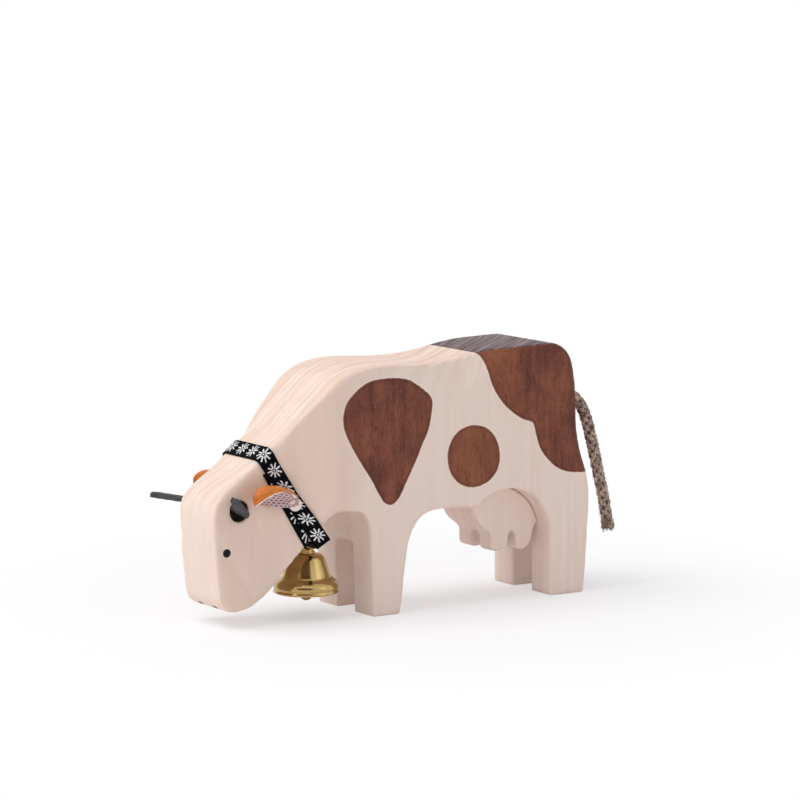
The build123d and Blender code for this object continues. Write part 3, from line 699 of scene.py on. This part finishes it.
# Five lines along the left ear, each from the tip to the root: the open rim, the bulge, the
# crest, the wall at the head and its lower edge
ear_lines = [
    [(-51.2, -16.6, 35.0), (-49.9, -17.7, 36.3), (-47.6, -18.0, 37.6), (-44.4, -17.4, 38.5),
     (-40.9, -16.2, 38.4), (-38.6, -15.2, 37.7), (-36.7, -14.7, 36.3)],
    [(-51.9, -16.6, 36.9), (-51.0, -18.0, 38.2), (-48.9, -18.3, 39.2), (-45.1, -17.6, 39.7),
     (-41.4, -16.3, 39.0), (-38.8, -15.3, 38.2), (-37.0, -14.5, 37.1)],
    [(-51.2, -16.3, 39.1), (-49.5, -15.8, 40.1), (-47.3, -15.2, 40.5), (-43.6, -14.6, 40.1),
     (-40.4, -14.1, 39.1), (-37.9, -13.7, 38.2), (-36.3, -13.5, 37.1)],
    [(-51.8, -16.2, 37.2), (-48.3, -13.4, 37.5), (-44.8, -11.9, 37.0), (-41.4, -11.5, 36.7),
     (-38.9, -11.8, 36.2), (-36.9, -12.9, 35.8), (-35.6, -13.7, 35.6)],
    [(-51.1, -16.3, 34.9), (-48.4, -13.9, 34.9), (-44.9, -12.2, 34.2), (-41.5, -11.7, 33.5),
     (-38.7, -12.0, 33.3), (-37.1, -13.5, 33.4), (-35.9, -14.3, 34.2)],
]
ear_size, ear_wall, cut_edge_share = (16, 13), 0.75, 0.058
lobe_size, lobe_place = (2.0, 1.2, 1.85), (-36.2, 13.1, 34.0)
stem_radius, stem_length, stem_middle = 1.45, 4.6, (-43.24, 8.3, 35.3)


def smooth_point(points, place):
    # A point on a smooth curve through the given points, at a place counted in points
    low = min(int(place), len(points) - 2)
    part = place - low
    near = [min(max(low + i, 0), len(points) - 1) for i in (-1, 0, 1, 2)]
    before, start, end, after = [np.array(points[i]) for i in near]
    bend = before * 2 - start * 5 + end * 4 - after
    twist = start * 3 - before - end * 3 + after
    return (start * 2 + (end - before) * part + bend * part ** 2 + twist * part ** 3) / 2


def trough(name, node, side, lift):
    # A net stretched over the lines; its second row marks where the pale cut edge ends
    cup = bmesh.new()
    layer = cup.loops.layers.uv.new("leather")
    bmesh.ops.create_grid(cup, x_segments=34, y_segments=24, size=0.5)
    shares = {}
    for vert in cup.verts:
        along, across = vert.co.x + 0.5, vert.co.y + 0.5
        if 0.01 < across < 0.05:
            across = cut_edge_share
        shares[vert] = (along, across)
        section = [smooth_point(line, along * (len(line) - 1)) for line in ear_lines]
        px, py, pz = smooth_point(section, across * (len(section) - 1))
        vert.co = (px, -side * py, pz + lift * (1 - along) * min(1, (1 - across) * 4))
    for face in cup.faces:
        for loop in face.loops:
            along, across = shares[loop.vert]
            loop[layer].uv = (along * ear_size[0], across * ear_size[1])
        face.material_index = 2 if max(shares[v][1] for v in face.verts) <= cut_edge_share else 0
    if side > 0:
        bmesh.ops.reverse_faces(cup, faces=cup.faces)
    along_shares = [shares[vert][0] for vert in cup.verts]
    looks = [grain_side, flesh_finish, cut_edge]
    piece = show(name, as_mesh(cup, name, MM), "figure", looks)

    # The leather is pared thin where its two sides meet at the tip
    pared = piece.vertex_groups.new(name="pared")
    for index, along in enumerate(along_shares):
        pared.add([index], min(1, 0.15 + along * 12), "REPLACE")
    wall = piece.modifiers.new("leather", "SOLIDIFY")
    wall.thickness = ear_wall * MM
    wall.vertex_group = pared.name
    wall.offset = -1
    wall.material_offset = 1
    soft = piece.modifiers.new("soft_edges", "BEVEL")
    soft.width = 0.15 * MM
    soft.segments = 2
    soft.limit_method = "ANGLE"
    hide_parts(node)


def rolled_lobe(name, side):
    # A pressed ball, slit at the front, with the stem that is glued into the head
    lobe = bmesh.new()
    bmesh.ops.create_uvsphere(lobe, u_segments=32, v_segments=20, radius=1)
    for vert in lobe.verts:
        lx, ly, lz = vert.co
        slit = max(0, 1 - abs(lz - 0.25 - lx * 0.2) / 0.16) * max(0, min(1, -lx * 1.4 + 0.35))
        press = 1 - 0.4 * slit * max(0, min(1, ly * side + 0.4))
        vert.co = (lx * lobe_size[0] * press, ly * lobe_size[1] * press, lz * lobe_size[2] * press)
    lobe_middle = (lobe_place[0], side * lobe_place[1], lobe_place[2])
    bmesh.ops.translate(lobe, vec=lobe_middle, verts=lobe.verts)
    stem_turn = Matrix.Rotation(radians(90), 4, "X")
    bmesh.ops.create_cone(
        lobe, cap_ends=True, cap_tris=False, segments=24, radius1=stem_radius, radius2=stem_radius,
        depth=stem_length,
        matrix=Matrix.Translation((stem_middle[0], side * stem_middle[1], stem_middle[2])) @ stem_turn,
    )
    show(name, as_mesh(lobe, name, MM), "figure", [pale_lobe])


for name, node, side, lift in (("ear_left", "left_ear", -1, 0.0), ("ear_right", "right_ear", 1, 0.95)):
    trough(name, node, side, lift)
    rolled_lobe(name + "_lobe", side)

# Collar
# A black ribbon, 5 mm wide, woven with white star flowers. It goes round the neck, its end
# is folded over itself on the left side and cut square, and under the throat both sides are
# gathered into one strand that carries the bell.
ribbon = Finish("flower_ribbon")
ribbon_map = ribbon.add("ShaderNodeUVMap", {"uv_map": "weave"})
ribbon_u, ribbon_v = ribbon.axes(ribbon_map)[:2]
petals, flower_gap, first_flower, flower_height = 9, 5.6, 1.2, 2.75
cell = (ribbon_u - first_flower) / flower_gap
cell_u = (cell - cell.floor() - 0.5) * flower_gap
cell_v = ribbon_v - flower_height
reach = cell_u.squares(cell_v).root()
ray = cell_v.angle(cell_u) * (petals / tau) + 0.06
off_ray = ray.off_middle() * reach * (tau / petals)
stitch = ribbon.noise(ribbon_map, (3.2, 3.2, 1.0), 1.0)
petal = (off_ray + (stitch - 0.5) * 0.42).step(0.27, 0.16)
petal = petal * reach.step(0.5, 0.7) * (reach + (stitch - 0.5) * 0.8).step(2.3, 2.05)
flower = petal.most(reach.step(0.34, 0.2))
warp_gap, weft_gap = 0.32, 0.3
weave = (ribbon_v * (tau / warp_gap)).sine() * (ribbon_u * (tau / weft_gap)).sine()
ground = ribbon.mix(weave.step(-0.6, 0.9), paint(7, 7, 10), paint(19, 19, 25))
white = ribbon.mix(stitch.step(0.3, 0.7), paint(255, 255, 255), paint(226, 227, 232))
ribbon_finish = ribbon.surface(
    Base_Color=ribbon.mix(flower, ground, white), Roughness=0.85,
    Normal=ribbon.bump(weave * 0.25 + flower * 0.8, 0.12, 0.8), Specular_IOR_Level=0.05,
)

# In the side view the ribbon runs down the neck from its upper edge, the seat. In plan the
# neck thickens from the knee to the shoulder.
ribbon_width, ribbon_wall, neck_corner, neck_lift = 5.2, 0.3, 2.2, 0.3
down, rearward = Vector((0.4633, -0.8862)), Vector((0.8862, 0.4633))
ribbon_top = Vector((-46.1, 46.15))
seat_top, seat_front = Vector((-38.9, 52.4)), Vector((-47.45, 45.7))
seat = (seat_front - seat_top).normalized()
knee_x, shoulder_x = -40.03, -24.32


def half_neck(px):
    # Half the neck's thickness in plan
    share = min(max((px - knee_x) / (shoulder_x - knee_x), 0), 1)
    return half_head + (half_board - half_head) * share


def seat_point(start):
    # Where a line down the ribbon from start crosses the neck's upper edge
    gap = seat_top - start
    return start + down * ((gap.x * seat.y - gap.y * seat.x) / (down.x * seat.y - down.y * seat.x))


def laid(stations, share, part):
    # A point of a flat run between front and rear stations; share goes across, part along
    low = min(int(part), len(stations) - 2)
    (front, rear), (next_front, next_rear) = stations[low:low + 2]
    front = Vector(front).lerp(Vector(next_front), part - low)
    return front.lerp(Vector(rear).lerp(Vector(next_rear), part - low), share)


def band(name, lines):
    # A strip of ribbon through lines of points that run along it side by side
    strip = bmesh.new()
    layer = strip.loops.layers.uv.new("weave")
    last, across = len(lines[0]) - 1, len(lines) - 1
    bmesh.ops.create_grid(strip, x_segments=last, y_segments=across, size=0.5)
    lengths = lengths_along(lines[len(lines) // 2])
    marks = {}
    for vert in strip.verts:
        i, j = round((vert.co.x + 0.5) * last), round((vert.co.y + 0.5) * across)
        marks[vert] = (lengths[i], j / across * ribbon_width)
        vert.co = lines[j][i]
    for face in strip.faces:
        for loop in face.loops:
            loop[layer].uv = marks[loop.vert]
    piece = show(name, as_mesh(strip, name, MM), "figure", [ribbon_finish])
    wall = piece.modifiers.new("cloth", "SOLIDIFY")
    wall.thickness = ribbon_wall * MM
    wall.offset = 0
    return piece


# The flat runs' front and rear edges: the first end, the folded end and the far side
inner_run = [((-45.0, 42.7), (-40.4, 45.1)), ((-38.5, 32.0), (-34.9, 34.8)), ((-32.8, 21.1), (-30.0, 28.2))]
outer_run = [((-40.6, 38.0), (-35.0, 36.9)), ((-34.8, 28.6), (-29.6, 29.2)), ((-29.8, 20.9), (-26.1, 23.6))]
far_run = [((-32.6, 22.4), (-28.6, 24.6)), ((-36.5, 29.6), (-31.9, 32.0))]


def inner_line(share):
    # The hidden first end: down the left side to the gather
    run = [laid(inner_run, share, part) for part in np.linspace(0, 2, 30)]
    return [(spot.x, -(half_neck(spot.x) + neck_lift), spot.y) for spot in run]


def outer_line(share):
    # From the right side's gather up, over the neck and down the left side to the cut end
    start = seat_point(ribbon_top + rearward * ribbon_width * share)
    raised = start + Vector((seat.y, -seat.x)) * neck_lift
    half = half_neck(start.x) + neck_lift
    line = []

    def corner(side, parts):
        # Bent over the neck's upper edge, from the side face at 0 to the top at 1
        for angle in parts * pi / 2:
            spot = raised + down * neck_corner * (1 - sin(angle))
            line.append((spot.x, side * (half - neck_corner * (1 - cos(angle))), spot.y))

    for part in np.linspace(0, 2, 34)[:-1]:
        spot = laid(far_run, share, min(part, 1)).lerp(start, max(part - 1, 0))
        line.append((spot.x, half_neck(spot.x) + neck_lift, spot.y))
    corner(1, np.linspace(0, 1, 7))
    for part in np.linspace(0, 1, 14)[1:-1]:
        line.append((raised.x, (half - neck_corner) * (1 - 2 * part), raised.y))
    corner(-1, np.linspace(1, 0, 7))
    first = start + down * neck_corner
    for part in np.linspace(0, 3, 44)[1:]:
        spot = first.lerp(laid(outer_run, share, max(part - 1, 0)), min(part, 1))
        lift = neck_lift + 0.42 * ramp(part, 0.1, 0.8) + 0.12 * ramp(part, 2.2, 3) * (1 - share)
        line.append((spot.x, -(half_neck(spot.x) + lift), spot.y))
    return line


widths = np.linspace(0, 1, 9)
band("collar_inner", [inner_line(share) for share in widths])
collar_outer = band("collar_outer", [outer_line(share) for share in widths])
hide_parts("collar_ribbon")

# The gathered strand is pleated all along, and at both ends it spreads and bends to the neck
strand_x, strand_z, strand_radius, strand_reach, pleats = -27.137, 21.0, 0.72, 13.4, 5
strand = bmesh.new()
bmesh.ops.create_cone(
    strand, cap_ends=True, cap_tris=False, segments=28, radius1=strand_radius, radius2=strand_radius,
    depth=1, matrix=Matrix.Rotation(radians(90), 4, "X"),
)
long_edges = [e for e in strand.edges if abs(e.verts[0].co.y - e.verts[1].co.y) > 0.5]
bmesh.ops.subdivide_edges(strand, edges=long_edges, cuts=30, use_grid_fill=True)
for vert in strand.verts:
    share = vert.co.y * 2
    pleat = 1 + 0.16 * cos(pleats * atan2(vert.co.z, vert.co.x) + share * 6)
    flare = 1 + 0.9 * max(0, abs(share) - 0.55) / 0.45
    bend = max(0, abs(share) - 0.5) ** 2
    vert.co = (
        strand_x + vert.co.x * pleat * flare - 9.5 * bend,
        share * strand_reach,
        strand_z + vert.co.z * pleat * min(flare, 1.3) + 7.0 * bend,
    )
bmesh.ops.recalc_face_normals(strand, faces=strand.faces)
gathered = Finish("gathered_ribbon")
thread = gathered.noise(gathered.place(), (6.0, 1.2, 6.0), 2.0)
gathered_colour = gathered.mix(thread.step(0.62, 0.7), paint(12, 12, 16), paint(190, 190, 194))
gathered_finish = gathered.surface(
    Base_Color=gathered_colour, Roughness=0.8, Normal=gathered.bump(thread, 0.15, 0.7),
    Specular_IOR_Level=0.05,
)
show("collar_strand", as_mesh(strand, "collar_strand", MM), "figure", [gathered_finish])

# Bell
# Spun from thin brass sheet and polished, with a flared mouth and a rolled lip. A ring cast
# with a short shank is riveted through the crown, and its lower eye carries the clapper.
bell_x, bell_y, lip_z, ring_z, eye_z = strand_x, -3.8, 7.056, 20.356, 16.256


def brass(name, light, dark, roughness):
    metal = Finish(name)
    spot = metal.place()
    cloud = metal.noise(spot, (0.25, 0.25, 0.25), 3.0)
    scratch = metal.noise(spot, (0.8, 0.8, 14.0), 2.0)
    colour = metal.mix(cloud.step(0.3, 0.7), light, dark)
    bump = metal.bump(scratch, 0.02, 0.15)
    return metal.surface(Base_Color=colour, Metallic=1.0, Roughness=roughness + scratch * 0.06, Normal=bump)


bell_brass = brass("bell_brass", paint(191, 164, 110), paint(175, 146, 92), 0.14)
ring_brass = brass("ring_brass", paint(238, 212, 150), paint(216, 186, 122), 0.3)


def spun(name, profile, centre, body, slot, finish, steps, closed=True):
    # An outline of radius and height turned about the upright axis through the centre
    turned = bmesh.new()
    verts = [turned.verts.new((r, 0, h)) for r, h in profile]
    nexts = verts[1:] + verts[:1] if closed else verts[1:]
    edges = [turned.edges.new(pair) for pair in zip(verts, nexts)]
    bmesh.ops.spin(
        turned, geom=verts + edges, cent=(0, 0, 0), axis=(0, 0, 1), angle=tau, steps=steps,
        use_merge=True, use_duplicate=False,
    )
    bmesh.ops.remove_doubles(turned, verts=turned.verts, dist=1e-4)
    bmesh.ops.recalc_face_normals(turned, faces=turned.faces)
    bmesh.ops.translate(turned, vec=centre, verts=turned.verts)
    return show(name, as_mesh(turned, name, MM), body, [finish])


def torus(name, centre, axis, radii, body, slot, finish):
    # A round wire bent into a ring; radii are the ring's and the wire's
    radius, wire = radii
    outline = [(radius + wire * cos(a), wire * sin(a)) for a in np.linspace(0, tau, 20)[:-1]]
    ring = spun(name, outline, (0, 0, 0), body, slot, finish, 64)
    turn = Vector((0, 0, 1)).rotation_difference(Vector(axis)).to_matrix().to_4x4()
    ring.data.transform(Matrix.Translation(Vector(centre) * MM) @ turn)
    return ring


def eased(points, count=5):
    # More points between the given ones on a smooth curve through them
    last = len(points) - 1
    return [smooth_point(points, place) for place in np.linspace(0, last, last * count + 1)]


bell_outer = [
    (8.75, 0.0), (9.25, 0.12), (9.42, 0.5), (9.22, 0.95), (9.2, 1.2), (9.3, 1.6), (9.25, 2.1), (9.12, 2.45),
    (8.8, 3.0), (8.2, 3.6), (7.5, 4.15), (6.95, 4.7), (6.6, 5.6), (6.15, 7.1), (5.6, 8.8), (5.1, 10.0),
    (4.55, 10.65), (3.9, 10.98), (2.5, 11.25), (0.65, 11.3),
]
bell_inner = [
    (0.65, 10.7), (2.4, 10.62), (3.5, 10.3), (4.25, 9.9), (5.0, 8.6), (5.6, 6.9), (6.15, 5.2), (6.9, 4.1),
    (7.9, 3.1), (8.5, 2.2), (8.62, 1.2), (8.45, 0.35),
]
foot_outline = [
    (0.0, 20.05), (0.6, 20.0), (1.4, 19.8), (2.0, 19.5), (2.25, 19.2), (2.1, 18.98), (2.2, 18.88),
    (2.5, 18.8), (2.62, 18.6), (2.5, 18.38), (1.6, 18.24), (0.62, 18.2), (0.6, 17.3), (0.0, 17.2),
]
bell_place = (bell_x, bell_y, lip_z)
bell_profile = eased(bell_outer) + eased(bell_inner)
bell_cup = spun("bell_cup", bell_profile, bell_place, "bell", "bell_brass", bell_brass, 128)
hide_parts("bell_shell")
ring_place, ring_radii = (bell_x, bell_y, ring_z), (2.225, 0.6)
bell_ring = torus("bell_ring", ring_place, (0, 1, 0), ring_radii, "bell", "bell_brass", ring_brass)
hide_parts("bell_loop")
axis_foot = (bell_x, bell_y, 0)
foot_profile = eased(foot_outline, 3)
spun("bell_foot", foot_profile, axis_foot, "bell", "bell_brass", ring_brass, 48, closed=False)
eye_radii = (1.1, 0.4)
torus("bell_eye", (bell_x, bell_y, eye_z), (1, 0, 0), eye_radii, "bell", "bell_brass", ring_brass)

# Clapper
# A brass wire hooked on the eye inside the bell, with a small turned brass ball on its end.
clapper_brass = brass("clapper_brass", paint(180, 136, 84), paint(150, 108, 62), 0.26)
clapper_look = ("clapper", "clapper_brass", clapper_brass)
hook_place, hook_radii = (bell_x, bell_y, 15.056), (1.05, 0.35)
ball_place, ball_radius = (bell_x, bell_y, 6.456), 1.8
wire_profile = [(0.0, 14.2), (0.35, 14.1), (0.35, 7.4), (0.0, 7.3)]
clapper_wire = spun("clapper_pin", wire_profile, axis_foot, *clapper_look, 20, closed=False)
torus("clapper_hook", hook_place, (0, 1, 0), hook_radii, *clapper_look)
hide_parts("clapper_wire")
ball_profile = [(ball_radius * sin(a), -ball_radius * cos(a)) for a in np.linspace(0, pi, 25)]
clapper_bead = spun("clapper_bead", ball_profile, ball_place, *clapper_look, 48, closed=False)
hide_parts("clapper_ball")

# Table and light
# A white table that runs into a white background, one wide soft lamp at the front left and
# a weak one at the right. A dark card at the front left shows only in the bell's polish.


def seen_directly(finish):
    # 1 for the camera's rays and for mirrored and passed ones, 0 for light on other things
    rays = finish.add("ShaderNodeLightPath", output="Is Camera Ray")
    return rays.most(rays.other("Is Glossy Ray")).most(rays.other("Is Transmission Ray"))


def flat_square(name, finish, turn):
    # One square metre, moved and stretched
    square = bmesh.new()
    bmesh.ops.create_grid(square, x_segments=1, y_segments=1, size=0.5, matrix=turn)
    mesh = as_mesh(square, name)
    mesh.materials.append(finish.material)
    return placed(name, mesh)


floor_finish = Finish("floor")
floor_x, floor_y = floor_finish.axes(floor_finish.place())[:2]
cow_middle, fade_reach = 10, 150
# Painted shade and light on the table: near the cow its colour is tinted faintly blue like shade, and for
# camera rays it glows white, at 45 per cent near the cow, which lightens the cow's shadow, and fully further
# off, where it runs into the white background
far = ((floor_x - cow_middle) / fade_reach).squares((floor_y - cow_middle) / fade_reach)
fade = far.step(0.02, 1.0, 0.45, 1.0)
floor_colour = floor_finish.mix(fade, paint(247, 246, 255), paint(255, 255, 255))
lit = floor_finish.add("ShaderNodeBsdfDiffuse", inputs={"Color": floor_colour})
bright = floor_finish.add("ShaderNodeEmission", inputs={"Color": (1, 1, 1, 1), "Strength": 1.0})
share_bright = fade * seen_directly(floor_finish)
blended = floor_finish.add("ShaderNodeMixShader", inputs={0: share_bright, 1: lit, 2: bright})
floor_finish.add("ShaderNodeOutputMaterial", inputs={"Surface": blended})
flat_square("floor", floor_finish, Matrix.Scale(6, 4))

sky = Finish("world", bpy.data.worlds.new("world"))
around = sky.add("ShaderNodeBackground", inputs={"Color": (1.0, 0.99, 0.985, 1), "Strength": 0.58})
beyond = sky.add("ShaderNodeBackground", inputs={"Color": (1, 1, 1, 1), "Strength": 1.0})
chosen = sky.add("ShaderNodeMixShader", inputs={0: seen_directly(sky), 1: around, 2: beyond})
sky.add("ShaderNodeOutputWorld", inputs={"Surface": chosen})
bpy.context.scene.world = sky.material
lamp_aim = Vector((0, 0, 0.04))


def lamp(name, place, size, power, colour):
    light = bpy.data.lights.new(name, "AREA")
    light.shape = "RECTANGLE"
    light.size, light.size_y = size
    light.energy = power
    light.color = colour
    holder = placed(name, light)
    holder.location = place
    holder.rotation_euler = (lamp_aim - Vector(place)).to_track_quat("-Z", "Y").to_euler()
    return holder


lamp("key_light", (-0.64, 0.16, 1.12), (0.9, 0.9), 9.0, (1.0, 0.985, 0.965))
window = lamp("window_light", (0.56, -0.83, 0.5), (0.5, 0.6), 0.5, (1.0, 0.98, 0.94))
window.visible_diffuse = False
card_finish = Finish("dark_card")
card_finish.surface(Base_Color=paint(112, 88, 80), Roughness=0.9)
card_centre, card_aim = Vector((-0.62, -0.82, 0.62)), Vector((-0.027, -0.004, 0.012))
card_turn = (card_aim - card_centre).to_track_quat("Z", "Y").to_matrix().to_4x4()
card_place = Matrix.Translation(card_centre) @ card_turn @ Matrix.Diagonal((1.1, 0.62, 1, 1))
dark_card = flat_square("dark_card", card_finish, card_place)
for kind in ("camera", "diffuse", "shadow", "transmission"):
    setattr(dark_card, "visible_" + kind, False)
bpy.context.scene.view_settings.view_transform = "Standard"
